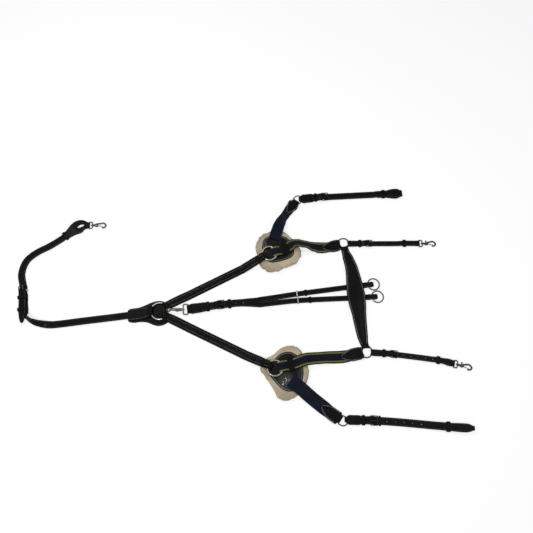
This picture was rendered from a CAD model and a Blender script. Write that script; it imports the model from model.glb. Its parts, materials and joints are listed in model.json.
"""Looks of the five-point breastplate: leather, elastic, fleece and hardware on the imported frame.

Lengths are in millimetres until a piece is finished, where MM turns them into metres.
+X runs from the chest to the withers, +Y to the horse's right and +Z up.
"""

import json
import math

import bmesh
import bpy
from mathutils import Matrix, Vector, noise


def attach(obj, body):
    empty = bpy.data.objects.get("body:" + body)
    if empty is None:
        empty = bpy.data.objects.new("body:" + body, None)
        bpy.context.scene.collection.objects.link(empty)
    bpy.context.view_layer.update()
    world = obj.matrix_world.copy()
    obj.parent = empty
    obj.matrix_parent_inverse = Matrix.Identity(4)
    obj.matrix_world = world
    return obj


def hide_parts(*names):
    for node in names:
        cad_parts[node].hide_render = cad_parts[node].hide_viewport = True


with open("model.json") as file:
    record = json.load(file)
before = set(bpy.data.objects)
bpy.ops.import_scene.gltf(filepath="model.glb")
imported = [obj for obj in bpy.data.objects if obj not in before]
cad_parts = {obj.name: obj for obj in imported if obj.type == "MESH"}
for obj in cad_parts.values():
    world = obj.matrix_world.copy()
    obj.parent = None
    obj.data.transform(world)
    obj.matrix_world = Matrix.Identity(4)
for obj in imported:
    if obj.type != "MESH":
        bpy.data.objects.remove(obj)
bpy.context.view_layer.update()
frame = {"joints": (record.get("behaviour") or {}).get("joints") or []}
JOINTS = {joint["name"]: joint for joint in frame["joints"]}

MM = 0.001
SIDES = ("right", "left")

# Heights that the straps keep
STRAP_BASE = 2.2
STRAP_THICK = 3.6
PLY = 2.1
LOOP_Z = 4.8
CHEST_RING_Z = 8.65
PAD_RING_Z = 27.0
PATCH_LOW = 18.35
PATCH_TOP = 21.35
BUCKLE_Z = 7.65
BUCKLE_LENGTH = 21.0
BUCKLE_WIRE = 1.5
SNAP_EYE_WIRE = 1.6
SNAP_WIRE = 2.0
SNAP_REACH = 50.0

# Rings: radius of the wire's middle line and radius of the wire
CHEST_RING = (26.5, 2.5)
PAD_RING = (23.0, 2.5)
WITHER_RING = (17.75, 2.25)
REIN_RING = (18.0, 2.0)
DEE = (13.5, 2.0)
DEE_LEG = 10.0

# How far the loops on the rings reach inside the wire
PAD_SLACK = 9.0
WITHER_SLACK = 2.5
DEE_SLACK = {"left": 4.5, "right": 7.0}

# Places on the floor
CHEST_AT = (0.0, 0.0)
PAD_RING_AT = {"left": (356.0, -179.0), "right": (340.0, 185.0)}
PAD_AT = {"left": (386.0, -190.0), "right": (370.0, 197.0)}
PATCH_AT = {"left": (387.0, -187.0), "right": (369.5, 204.0)}
PATCH_HALF = {"left": (56.0, 60.0), "right": (53.0, 47.0)}
PAD_HALF = {"left": (77.0, 88.0), "right": (77.0, 74.0)}
WITHER_AT = {"left": (633.0, -126.0), "right": (580.0, 227.0)}
DEE_AT = {"left": (553.1, -328.5), "right": (436.0, 386.0)}
DEE_HEADING = {"left": -25.0, "right": 50.0}


def eased(share):
    """A share from 0 to 1 that starts and ends softly."""
    return share * share * (3.0 - 2.0 * share)


def clamped(value):
    """A value kept between 0 and 1."""
    return max(0.0, min(1.0, value))


def to_end(length, *pairs):
    """(distance, value) pairs from pairs that count the distance back from the end."""
    return tuple((length - back, value) for back, value in pairs)


def along(distance, pairs, ease=None):
    """Value at a distance between (distance, value) pairs, on straight lines or in eased steps."""
    if distance <= pairs[0][0]:
        return pairs[0][1]
    for (d0, v0), (d1, v1) in zip(pairs, pairs[1:]):
        if distance <= d1:
            share = (distance - d0) / (d1 - d0)
            return v0 + (v1 - v0) * (ease(share) if ease else share)
    return pairs[-1][1]


def spline(a, b, c, d, t):
    """Point a share of the way from b to c, on a smooth line that comes from a and goes on to d."""
    return 0.5 * (2 * b + (c - a) * t + (2 * a - 5 * b + 4 * c - d) * t ** 2 + (3 * b - a - 3 * c + d) * t ** 3)


def polar(centre, radius, degrees):
    angle = math.radians(degrees)
    return (centre[0] + radius * math.cos(angle), centre[1] + radius * math.sin(angle))


def heading_of(start, end):
    return math.degrees(math.atan2(end[1] - start[1], end[0] - start[0]))


class Route:
    """A smooth plan line through a few points, measured by its length."""

    SAMPLES = 24

    def __init__(self, points):
        ends = [2 * Vector(points[0]) - Vector(points[1])]
        ends += [Vector(p) for p in points]
        ends += [2 * Vector(points[-1]) - Vector(points[-2])]
        self.points = []
        for a, b, c, d in zip(ends, ends[1:], ends[2:], ends[3:]):
            self.points += [spline(a, b, c, d, i / self.SAMPLES) for i in range(self.SAMPLES)]
        self.points.append(ends[-2])
        self.marks = [0.0]
        for a, b in zip(self.points, self.points[1:]):
            self.marks.append(self.marks[-1] + (b - a).length)
        self.length = self.marks[-1]

    def at(self, distance):
        """Point and unit heading at a distance; beyond an end the line runs on straight."""
        inside = min(max(distance, 0.0), self.length)
        low, high = 1, len(self.marks) - 1
        while low < high:
            middle = (low + high) // 2
            if self.marks[middle] < inside:
                low = middle + 1
            else:
                high = middle
        a, b = self.points[low - 1], self.points[low]
        before = self.points[max(low - 2, 0)]
        after = self.points[min(low + 1, len(self.points) - 1)]
        share = (inside - self.marks[low - 1]) / max(1e-6, self.marks[low] - self.marks[low - 1])
        heading = ((b - before) * (1.0 - share) + (after - a) * share).normalized()
        return a.lerp(b, share) + (b - a).normalized() * (distance - inside), heading

    def turn(self, distance):
        heading = self.at(distance)[1]
        return math.degrees(math.atan2(heading.y, heading.x))

    def above(self, distance, height):
        """A point in space over a distance, for a fitting."""
        point = self.at(distance)[0]
        return point.x, point.y, height

    def even(self, count, first=0.0, last=None):
        """Evenly spaced points, both ends counted, for a number of steps."""
        last = self.length if last is None else last
        return [self.at(first + (last - first) * k / count)[0] for k in range(count + 1)]


def shown(name, data):
    """A new object in the scene."""
    made = bpy.data.objects.new(name, data)
    bpy.context.scene.collection.objects.link(made)
    return made


def finished(name, bm, finishes, body, nodes=(), sharp=38.0, weld=0.0005):
    """Turn a bmesh in millimetres into a piece in metres that rides on its body, for its CAD nodes."""
    bmesh.ops.remove_doubles(bm, verts=bm.verts, dist=weld)
    if THREADS:
        sew(bm)
    bmesh.ops.recalc_face_normals(bm, faces=bm.faces)
    bm.transform(Matrix.Scale(MM, 4))
    mesh = bpy.data.meshes.new(name)
    bm.to_mesh(mesh)
    bm.free()
    mesh.shade_smooth()
    mesh.set_sharp_from_angle(angle=math.radians(sharp))
    made = shown(name, mesh)
    for finish in finishes:
        mesh.materials.append(finish)
    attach(made, body)
    if nodes:
        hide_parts(*nodes)
    return made


def laid(bm, rows, closed=False):
    """A grid of faces laid on rows of points; closed joins the last row to the first."""
    count, across = len(rows), len(rows[0])
    last = count - 1 + closed
    made = bmesh.ops.create_grid(bm, x_segments=last, y_segments=across, size=0.5)["verts"]
    ends = []
    for v in made:
        i = round((v.co.x + 0.5) * last)
        j = round((v.co.y + 0.5) * across)
        v.co = rows[i % count][j % across]
        if i in (0, last):
            ends.append(v)
    bmesh.ops.remove_doubles(bm, verts=made, dist=0.0001)
    if not closed:
        rims = {e for v in ends if v.is_valid for e in v.link_edges if e.is_boundary}
        bmesh.ops.holes_fill(bm, edges=list(rims), sides=0)


def frames_along(points, closed):
    """Turn-free axes across a line in space, for a section that is swept along it."""
    count = len(points)
    ways = []
    for i in range(count):
        before = points[i - 1] if (closed or i) else points[0]
        after = points[(i + 1) % count] if (closed or i < count - 1) else points[-1]
        ways.append((after - before).normalized())
    start = Vector((0, 0, 1)) if abs(ways[0].z) < 0.9 else Vector((0, 1, 0))
    out = (start - ways[0] * start.dot(ways[0])).normalized()
    axes = []
    for way in ways:
        out = (out - way * out.dot(way)).normalized()
        axes.append((way.cross(out), out))
    return axes


def wire(bm, points, radius, closed=False, sides=14, squash=(1.0, 1.0)):
    """A round wire swept along points; radius may be one value for each point."""
    points = [Vector(p) for p in points]
    radii = radius if isinstance(radius, list) else [radius] * len(points)
    rows = []
    for point, (right, up), r in zip(points, frames_along(points, closed), radii):
        rows.append([point + right * (r * squash[0] * math.cos(a)) + up * (r * squash[1] * math.sin(a))
                     for a in (2 * math.pi * k / sides for k in range(sides))])
    if not closed:
        for at, inner in ((0, rows[0]), (-1, rows[-1])):
            middle = points[at]
            way = (points[at] - points[1 if at == 0 else -2]).normalized()
            domed = [[middle + (p - middle) * shrink + way * (radii[at] * push) for p in inner]
                     for shrink, push in ((0.86, 0.45), (0.5, 0.8))]
            rows = ([domed[1], domed[0]] + rows) if at == 0 else (rows + domed)
    laid(bm, rows, closed)


def lathe(profile, sides=24, start=0.0):
    """A turned part about the X axis, from (x, radius) pairs that count from a start."""
    part = bmesh.new()
    line = [part.verts.new((start + x, r, 0.0)) for x, r in profile]
    edges = [part.edges.new(pair) for pair in zip(line, line[1:])]
    bmesh.ops.spin(part, geom=line + edges, cent=(0.0, 0.0, 0.0), axis=(1.0, 0.0, 0.0), angle=2 * math.pi,
                   steps=sides, use_merge=True)
    bmesh.ops.remove_doubles(part, verts=part.verts, dist=0.0005)
    return part


def joined(bm, part, matrix=Matrix.Identity(4)):
    """Add a part, made in a bmesh of its own, at its place."""
    part.transform(matrix)
    mesh = bpy.data.meshes.new("part")
    part.to_mesh(mesh)
    part.free()
    bm.from_mesh(mesh)
    bpy.data.meshes.remove(mesh)


def setting(point, heading=0.0, dip=0.0):
    """The place of a metal fitting: turned about Y, then Z, then moved."""
    return (Matrix.Translation(Vector(point)) @ Matrix.Rotation(math.radians(heading), 4, "Z")
            @ Matrix.Rotation(math.radians(dip), 4, "Y"))


# Sections of straps: distance from the edge, then how far the top lies below the full
# thickness and the bottom above it, as shares of the thickness
FLAT = ((0.0, 0.36, 0.30), (0.22, 0.17, 0.12), (0.6, 0.04, 0.03), (1.1, 0.0, 0.0), (1.55, 0.08, 0.0),
        (2.0, 0.0, 0.0), (3.6, 0.0, 0.0))


def padded_section(valley):
    """Section of a padded strap whose stitches sink in at a distance from its edges."""
    return ((0.0, 0.66, 0.14), (0.3, 0.55, 0.06), (0.9, 0.49, 0.0), (valley - 1.8, 0.44, 0.0),
            (valley - 0.6, 0.50, 0.0), (valley, 0.57, 0.0), (valley + 0.6, 0.50, 0.0), (valley + 1.8, 0.27, 0.0),
            (valley + 3.2, 0.10, 0.0), (valley + 5.0, 0.02, 0.0))


WEB = ((0.0, 0.42, 0.42), (0.25, 0.2, 0.2), (0.7, 0.04, 0.04), (1.6, 0.0, 0.0), (3.0, 0.0, 0.0))


def pierce(bm, rims):
    """Join the rims of holes, pair by pair, the highest first, so that plies aren't mixed up."""
    left = set(rims)
    groups = []
    while left:
        group = {left.pop()}
        grown = True
        while grown:
            verts = {v for e in group for v in e.verts}
            more = {e for e in left if e.verts[0] in verts or e.verts[1] in verts}
            grown = bool(more)
            group |= more
            left -= more
        groups.append((sum((v.co for e in group for v in e.verts), Vector()) / (2 * len(group)), group))
    groups.sort(key=lambda g: g[0].z)
    while groups:
        middle, group = groups.pop()
        mate = min(groups, key=lambda g: (g[0] - middle).length)
        groups.remove(mate)
        bmesh.ops.bridge_loops(bm, edges=list(group | mate[1]))


class Ribbon:
    """One strip of leather or web: a line in length and height, bent along a plan route.

    A fold is (distance, direction of the strip) and, on a ring, the ring's centre and radius."""

    # Lengths of the slow swell and tilt, and how far from a fold they fade
    SWELL, TILT, CALM = 46.0, 38.0, 22.0

    def __init__(self, route, line, width, section=FLAT, roll=((0.0, 0.0),), folds=(), crown=0.0,
                 wave=0.25, seed=0.0, rest=None):
        self.route = route
        self.line = line
        self.width = width
        self.section = section
        self.roll = roll
        self.folds = folds
        self.crown = crown
        self.wave = wave
        self.seed = seed
        self.rest = rest
        self.marks = [0.0]
        for a, b in zip(line, line[1:]):
            self.marks.append(self.marks[-1] + math.hypot(b[0] - a[0], b[1] - a[1]))
        self.length = self.marks[-1]

    def mark_of(self, distance, last=False):
        """Where along the strip its upper run, or its last ply, passes a distance of the route."""
        order = range(len(self.line) - 1)
        for i in (reversed(order) if last else order):
            a, b = self.line[i], self.line[i + 1]
            if min(a[0], b[0]) <= distance <= max(a[0], b[0]) and (b[0] > a[0]) != last:
                return self.marks[i] + (self.marks[i + 1] - self.marks[i]) * (distance - a[0]) / (b[0] - a[0])
        return 0.0

    def station(self, mark):
        """Distance, height, thickness and normal at a mark along the strip."""
        mark = min(max(mark, 0.0), self.length)
        i = 1
        while i < len(self.marks) - 1 and self.marks[i] < mark:
            i += 1
        a, b = self.line[i - 1], self.line[i]
        share = (mark - self.marks[i - 1]) / max(1e-6, self.marks[i] - self.marks[i - 1])
        before = self.line[max(i - 2, 0)]
        after = self.line[min(i + 1, len(self.line) - 1)]
        dx = (b[0] - before[0]) * (1 - share) + (after[0] - a[0]) * share
        dz = (b[1] - before[1]) * (1 - share) + (after[1] - a[1]) * share
        size = math.hypot(dx, dz) or 1.0
        mix = [a[k] + (b[k] - a[k]) * share for k in range(3)]
        return mix[0], mix[1], mix[2], (-dz / size, dx / size)

    def half(self, distance):
        return 0.5 * along(distance, self.width)

    def drop(self, edge, half, face):
        scale = min(1.0, half / (self.section[-1][0] + 2.5))
        table = [(e * scale, top if face > 0 else low) for e, top, low in self.section]
        return along(edge, table)

    def spot(self, mark, across, face, lift=0.0):
        """Point on the top (+1) or the bottom (-1) face, at an offset across the strip."""
        s, z, thick, normal = self.station(mark)
        half = self.half(s)
        u = max(-half, min(half, across))
        rise = (0.5 - self.drop(half - abs(u), half, face)) * thick + lift
        if face > 0 and self.crown:
            rise += self.crown * max(0.0, 1.0 - (u / half) ** 2) * min(1.0, thick / 4.0)
        rise *= face
        turn = math.radians(along(s, self.roll, eased))
        s += normal[0] * rise
        z += normal[1] * rise
        point, heading = self.route.at(s)
        side = Vector((-heading.y, heading.x))
        swell = self.wave * noise.noise(Vector((s / self.SWELL, self.seed, 0.3)))
        tilt = self.wave * 0.8 * noise.noise(Vector((s / self.TILT, self.seed, 7.1))) * u / max(half, 1.0)
        quiet = 1.0
        for at, sign, *bow in self.folds:
            near = max(0.0, 1.0 - max(0.0, sign * (s - at)) / self.CALM)
            quiet *= 1.0 - near
            if bow:
                ring, radius = bow
                tip = self.route.at(at)[0]
                off = (tip - Vector(ring)).dot(side)
                lead = (math.sqrt(max(radius ** 2 - off ** 2, 0.0))
                        - math.sqrt(max(radius ** 2 - (off + u) ** 2, 1.0)))
                point = point - heading * (sign * lead * min(1.0, near * 1.4))
        z += (swell + tilt) * quiet * (0.5 if z < 4.0 else 1.0) + (self.rest or half) * abs(math.sin(turn))
        flat = side * (u * math.cos(turn) - rise * math.sin(turn))
        return Vector((point.x + flat.x, point.y + flat.y, max(0.05, z + u * math.sin(turn))))

    def build(self, bm, holes=(), step=5.0):
        """Lay the strip's skin, with round holes at marks, and note its weave and its edges."""
        weave = bm.loops.layers.uv.get("weave") or bm.loops.layers.uv.new("weave")
        worn = bm.verts.layers.float.get("edge") or bm.verts.layers.float.new("edge")
        marks = []
        for a, b in zip(self.marks, self.marks[1:]):
            count = max(1, math.ceil((b - a) / step))
            marks += [a + (b - a) * k / count for k in range(count)]
        marks.append(self.length)
        for hole, reach, _ in holes:
            marks = [m for m in marks if abs(m - hole) > reach + 0.6] + [hole - reach, hole + reach]
            rows = 1 if reach < 3.0 else 5
            marks += [hole + reach * math.cos(math.pi * k / (rows + 1)) for k in range(1, rows + 1)]
        marks.sort()
        near = [e for e, _, _ in self.section]
        across = len(near) * 2 + 3
        grid = bmesh.ops.create_grid(bm, x_segments=len(marks) - 1, y_segments=across - 1, size=0.5)["verts"]
        top = list({f for v in grid for f in v.link_faces})
        under = bmesh.ops.extrude_face_region(bm, geom=top, use_keep_orig=True)["geom"]
        under = [g for g in under if isinstance(g, bmesh.types.BMVert)]
        spots = {}
        for verts, face in ((grid, 1), (under, -1)):
            for v in verts:
                i = round((v.co.x + 0.5) * (len(marks) - 1))
                j = round((v.co.y + 0.5) * (across - 1))
                spots[v] = (i, j, face)
        table = {}
        for i, mark in enumerate(marks):
            half = self.half(self.station(mark)[0])
            scale = min(1.0, half / (near[-1] + 2.5))
            hole = next((h for h in holes if abs(mark - h[0]) <= h[1] + 0.01), None)
            inner = min(2.2, 0.3 * half)
            ahead = 0.0
            if hole:
                small = hole[1] < 3.0
                share = min(1.0, abs(mark - hole[0]) / hole[1])
                inner = hole[2] * (math.sqrt(1.0 - share * share) if share < 0.99 else (0.72 if small else 0.3))
                ahead = (hole[0] - mark) * (0.28 if small else 0.04) if share > 0.99 else 0.0
            offsets = [e * scale - half for e in near] + [-inner, 0.0, inner]
            offsets += [half - e * scale for e in reversed(near)]
            for j, offset in enumerate(offsets):
                at = mark + (ahead if abs(j - across // 2) == 1 else 0.0)
                for face in (1, -1):
                    table[(i, j, face)] = (self.spot(at, offset, face), offset, at,
                                           max(0.0, 1.0 - (half - abs(offset)) / 3.0))
        for v, key in spots.items():
            v.co = table[key][0]
            v[worn] = table[key][3]
        for f in {f for v in spots for f in v.link_faces}:
            for loop in f.loops:
                _, offset, at, _ = table[spots[loop.vert]]
                loop[weave].uv = (offset * MM, at * MM)
        if holes:
            middle = across // 2
            rows = {i for i, m in enumerate(marks) if any(abs(m - h) < r - 0.01 for h, r, _ in holes)}
            pierced = [v for v, (i, j, _) in spots.items() if i in rows and j == middle]
            rims = {e for v in pierced for f in v.link_faces for e in f.edges if v not in e.verts}
            bmesh.ops.delete(bm, geom=pierced, context="VERTS")
            rims = [e for e in rims if e.is_valid]
            pierce(bm, rims)

    def stitches(self, inset, start, end, face=1, bold=1.0):
        """Small raised stitches along both edges of the strip, from one distance to another."""
        first, final = self.mark_of(start), self.mark_of(end)
        count = max(1, int((final - first) / PITCH))
        for edge in (1, -1):
            for k in range(count):
                mark = first + (final - first) * (k + 0.5) / count
                across = edge * (self.half(self.station(mark)[0]) - inset)
                stitch(*(self.spot(mark + ahead * PITCH, across, face, lift)
                         for ahead, lift in ((-0.4, 0.0), (0.0, 0.12), (0.4, 0.0))), bold)


def stitch(a, b, c, bold=1.0):
    """Note one stitch of thread, half sunk between its two holes."""
    way = (c - a).normalized()
    right = way.cross(Vector((0, 0, 1)))
    right = right.normalized() if right.length > 0.1 else Vector((0, 1, 0))
    place = Matrix((right * STITCH[1] * bold, right.cross(way) * STITCH[2], way * STITCH[0])).transposed().to_4x4()
    place.translation = b
    THREADS.append(place)


# Stitches: the distance between them, and half the length, width and height of one bead
PITCH = 2.7
STITCH = (1.15, 0.42, 0.34)
THREADS = []


def sew(bm):
    """Add a small bead of thread at every stitch noted since the last piece."""
    ball, part = bmesh.new(), bmesh.new()
    bmesh.ops.create_uvsphere(ball, u_segments=6, v_segments=4, radius=1.0)
    for f in ball.faces:
        f.material_index = 1
    joined(part, ball)
    bead = [v.co.copy() for v in part.verts]
    while len(part.verts) < len(bead) * len(THREADS):
        joined(part, part.copy())
    part.verts.ensure_lookup_table()
    spare = [part.verts[i] for i in range(len(bead) * len(THREADS), len(part.verts))]
    for i in range(len(bead) * len(THREADS)):
        part.verts[i].co = THREADS[i // len(bead)] @ bead[i % len(bead)]
    bmesh.ops.delete(part, geom=spare, context="VERTS")
    joined(bm, part)
    THREADS.clear()


# Air between a wire and the ply that wraps it, how far the ply takes to part from the wire's
# height, and how far from the fold it has the strap's own thickness
FOLD_AIR = 0.12
FOLD_LEAD = 12.0
PLY_LEAD = 20.0
# Distance between the stations of a strip
STATION = 6.0


def fold_line(height, radius, sign, at):
    """Middle line of a ply that wraps a wire, from above it to below it, or back for sign -1."""
    arc = [polar((at, height), radius, 90.0 - sign * 20.0 * k) for k in range(1, 9)]
    return arc if sign > 0 else arc[::-1]


def strip_line(length, height, thick, start=None, end=None, first=0.0):
    """Stations of a strip: the turned-back end, the fold, the upper run, then the same again.

    A fold is (wire height, wire radius, ply, length turned back, height of the turned-back ply,
    slack); over the slack the two plies stay apart."""
    def parted(s, fold):
        return eased(clamped((s - fold[5]) / FOLD_LEAD))

    def under(s, fold):
        tall, wire_r, ply, _, low, _ = fold
        share = parted(s, fold)
        return (tall - wire_r - FOLD_AIR - 0.5 * ply) * (1 - share) + low * share

    line = []
    if start:
        tall, ply, s = start[0], start[2], start[3]
        radius = start[1] + FOLD_AIR + 0.5 * ply
        while s > 1.0:
            line.append((s, under(s, start), ply))
            s -= STATION
        line.append((0.0, tall - radius, ply))
        line += [(x, z, ply) for x, z in fold_line(tall, radius, -1, 0.0)]
        line.append((0.0, tall + radius, ply))
    count = math.ceil((length - first) / STATION)
    for s in [first + (length - first) * k / count for k in range(count)] + [length]:
        z, t = along(s, height, eased), along(s, thick)
        for fold, off in ((start, s), (end, length - s)):
            if fold:
                z += (fold[0] + fold[1] + FOLD_AIR + 0.5 * fold[2] - z) * (1.0 - parted(off, fold))
                t += (fold[2] - t) * max(0.0, 1.0 - off / PLY_LEAD)
        if not line or s > line[-1][0] + 1.2:
            line.append((s, z, t))
    if end:
        tall, ply, back = end[0], end[2], end[3]
        radius = end[1] + FOLD_AIR + 0.5 * ply
        if line[-1][0] > length - 0.5:
            line.pop()
        line.append((length, tall + radius, ply))
        line += [(x, z, ply) for x, z in fold_line(tall, radius, 1, length)]
        line.append((length, tall - radius, ply))
        s = min(STATION, back)
        while s <= back + 0.01:
            line.append((length - s, under(s, end), ply))
            s += STATION
    return line


# How far the middle of a keeper's upper and lower side bows out
KEEPER_BOW = 0.2


def keeper(bm, route, distance, width, low, high, length=10.0, wall=2.0):
    """A leather band round a strap: a rounded section swept round a rounded loop."""
    point, heading = route.at(distance)
    half, rise, middle = 0.5 * width + 0.5, 0.5 * (high - low) + 0.3, 0.5 * (high + low)
    corner = min(2.2, rise)
    loop = []
    for cy, cz, first in ((half - corner, rise - corner, 0.0), (corner - half, rise - corner, 90.0),
                          (corner - half, corner - rise, 180.0), (half - corner, corner - rise, 270.0)):
        for k in range(7):
            a = math.radians(first + 15.0 * k)
            loop.append((cy + corner * math.cos(a), cz + corner * math.sin(a), math.cos(a), math.sin(a)))
        if first in (0.0, 180.0):
            last = loop[-1]
            way = -1 if first == 0.0 else 1
            for k in range(1, 4):
                share = k / 4
                y = last[0] + way * (2 * (half - corner)) * share
                loop.append((y, last[1], 0.0, 1.0 if first == 0.0 else -1.0))
    side = Vector((-heading.y, heading.x))
    section = [(-0.5, 0.0), (-0.5, 0.55), (-0.44, 0.88), (-0.34, 1.0), (-0.2, 0.93), (0.0, 1.0), (0.2, 0.93),
               (0.34, 1.0), (0.44, 0.88), (0.5, 0.55), (0.5, 0.0)]
    rows = []
    for y, z, ny, nz in loop:
        row = []
        for a, b in section:
            spot = point + heading * (a * length) + side * (y + ny * wall * b)
            bow = KEEPER_BOW * nz * (1 - (y / half) ** 2)
            row.append(Vector((spot.x, spot.y, middle + z + nz * wall * b + bow)))
        rows.append(row)
    laid(bm, rows, closed=True)


# Finishes: helpers hand on (node, output) pairs, and take them or plain values

def grouped(name, inputs, outputs):
    """A node group with number sockets, and a vector socket for an input without a value."""
    tree = bpy.data.node_groups.new(name, "ShaderNodeTree")
    for label, value in inputs.items():
        kind = "NodeSocketVector" if value is None else "NodeSocketFloat"
        made = tree.interface.new_socket(name=label, in_out="INPUT", socket_type=kind)
        if value is not None:
            made.default_value = value
    for label in outputs:
        tree.interface.new_socket(name=label, in_out="OUTPUT", socket_type="NodeSocketFloat")
    return tree, tree.nodes.new("NodeGroupInput"), tree.nodes.new("NodeGroupOutput")


def feed(tree, source, node, socket):
    tree.links.new(source[0].outputs[source[1]], node.inputs[socket])


def add(tree, kind, links=(), **values):
    """A node with its settings and sockets set by values, and sockets fed by {socket: pair}."""
    node = tree.nodes.new("ShaderNode" + kind)
    for key, value in values.items():
        if hasattr(node, key):
            setattr(node, key, value)
        else:
            node.inputs[key].default_value = value
    for socket, source in dict(links).items():
        feed(tree, source, node, socket)
    return node


def maths(tree, operation, *parts):
    node = add(tree, "Math", operation=operation)
    for i, part in enumerate(parts):
        if isinstance(part, tuple):
            feed(tree, part, node, i)
        else:
            node.inputs[i].default_value = part
    return node, 0


def blended(tree, share, a, b):
    """Mix of two colours."""
    node = add(tree, "Mix", {0: share}, data_type="RGBA")
    for socket, part in ((6, a), (7, b)):
        if len(part) == 2:
            feed(tree, part, node, socket)
        else:
            node.inputs[socket].default_value = (*part, 1.0)
    return node, "Result"


def tinted(tree, base, mask, share, colour):
    """A colour mixed in by a share of a mask."""
    return blended(tree, maths(tree, "MULTIPLY", mask, share), base, colour)


def stepped(tree, source, low, high, out_low=0.0, out_high=1.0):
    node = add(tree, "MapRange", {"Value": source}, interpolation_type="SMOOTHSTEP")
    for label, value in (("From Min", low), ("From Max", high), ("To Min", out_low), ("To Max", out_high)):
        node.inputs[label].default_value = value
    return node, 0


def placed(tree):
    return {"Vector": (add(tree, "TexCoord"), "Object")}


def scaled(factor, colour, extra=0.0):
    return tuple(factor * c + extra for c in colour)


def leather_grain():
    """Pebbled grain with fine creases: height, and a mask of the creases."""
    tree, given, told = grouped("leather_grain", {"Vector": None, "Pebble": 900.0, "Crease": 60.0},
                                ("Height", "Creases"))
    place = {"Vector": (given, "Vector")}
    bent = add(tree, "TexNoise", place, Scale=220.0, Detail=2.0)
    small = add(tree, "VectorMath", {0: (bent, "Color")}, operation="SCALE", Scale=0.0012)
    moved = add(tree, "VectorMath", {0: place["Vector"], 1: (small, 0)}, operation="ADD")
    cells = add(tree, "TexVoronoi", {"Vector": (moved, 0), "Scale": (given, "Pebble")}, feature="DISTANCE_TO_EDGE")
    round_top = stepped(tree, (cells, "Distance"), 0.0, 0.32)
    fine = add(tree, "TexNoise", place, Scale=2600.0, Detail=3.0)
    folds = add(tree, "TexNoise", {**place, "Scale": (given, "Crease")}, Detail=6.0, Roughness=0.62, Distortion=0.5)
    ridge = maths(tree, "ABSOLUTE", maths(tree, "SUBTRACT", (folds, "Fac"), 0.5))
    lines = stepped(tree, ridge, 0.0, 0.035, 1.0, 0.0)
    mixed = maths(tree, "MULTIPLY_ADD", (fine, "Fac"), 0.22, round_top)
    feed(tree, maths(tree, "MULTIPLY_ADD", lines, -0.35, mixed), told, "Height")
    feed(tree, lines, told, "Creases")
    return tree


def edge_wear():
    """Mask of the rubbed edges, from the strips' own edge mark, broken up by noise."""
    tree, given, told = grouped("edge_wear", {"Vector": None, "Reach": 0.75}, ("Worn", "Rub"))
    place = {"Vector": (given, "Vector")}
    mark = add(tree, "Attribute", attribute_name="edge")
    broken = add(tree, "TexNoise", place, Scale=85.0, Detail=5.0, Roughness=0.7)
    lifted = maths(tree, "MULTIPLY_ADD", (broken, "Fac"), 0.5, (mark, "Fac"))
    over = maths(tree, "SUBTRACT", lifted, maths(tree, "ADD", (given, "Reach"), 0.25))
    feed(tree, stepped(tree, over, 0.0, 0.25), told, "Worn")
    rub = add(tree, "TexNoise", place, Scale=18.0, Detail=4.0, Roughness=0.55)
    feed(tree, stepped(tree, (rub, "Fac"), 0.42, 0.72), told, "Rub")
    return tree


def dust():
    """Sparse specks and soft clouds of dust."""
    tree, given, told = grouped("light_dust", {"Vector": None}, ("Dust",))
    place = {"Vector": (given, "Vector")}
    specks = add(tree, "TexVoronoi", place, Scale=420.0)
    cloud = add(tree, "TexNoise", place, Scale=26.0, Detail=5.0)
    feed(tree, maths(tree, "MULTIPLY", stepped(tree, (specks, "Distance"), 0.03, 0.12, 1.0, 0.0),
                     stepped(tree, (cloud, "Fac"), 0.5, 0.75)), told, "Dust")
    return tree


def web_weave():
    """Woven elastic: rubber cords along it and fine picks across, from the strip's own map."""
    tree, given, told = grouped("web_weave", {"Cord": 700.0, "Pick": 1100.0}, ("Height", "Across", "Picks"))
    parts = add(tree, "SeparateXYZ", {0: (add(tree, "UVMap", uv_map="weave"), 0)})
    cords = maths(tree, "MULTIPLY", (parts, 0), (given, "Cord"))
    picks = maths(tree, "MULTIPLY", (parts, 1), (given, "Pick"))
    odd = maths(tree, "MULTIPLY", maths(tree, "MODULO", maths(tree, "FLOOR", cords), 2.0), 0.5)
    ridge = stepped(tree, maths(tree, "PINGPONG", cords, 0.5), 0.0, 0.5)
    bead = stepped(tree, maths(tree, "PINGPONG", maths(tree, "ADD", picks, odd), 0.5), 0.0, 0.42)
    feed(tree, maths(tree, "MULTIPLY", ridge, maths(tree, "MULTIPLY_ADD", bead, 0.6, 0.4)), told, "Height")
    feed(tree, (parts, 0), told, "Across")
    feed(tree, bead, told, "Picks")
    return tree


GRAIN, WEAR, DUST, WEAVE = leather_grain(), edge_wear(), dust(), web_weave()


def blank(name, **values):
    """A new material with values set on its shader."""
    made = bpy.data.materials.new(name)
    made.use_nodes = True
    shader = made.node_tree.nodes["Principled BSDF"]
    for label, value in values.items():
        shader.inputs[label.replace("_", " ")].default_value = value
    return made, made.node_tree, shader


def bumped(tree, shader, height, strength, distance):
    feed(tree, (add(tree, "Bump", {"Height": height}, Strength=strength, Distance=distance), 0), shader, "Normal")


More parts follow.
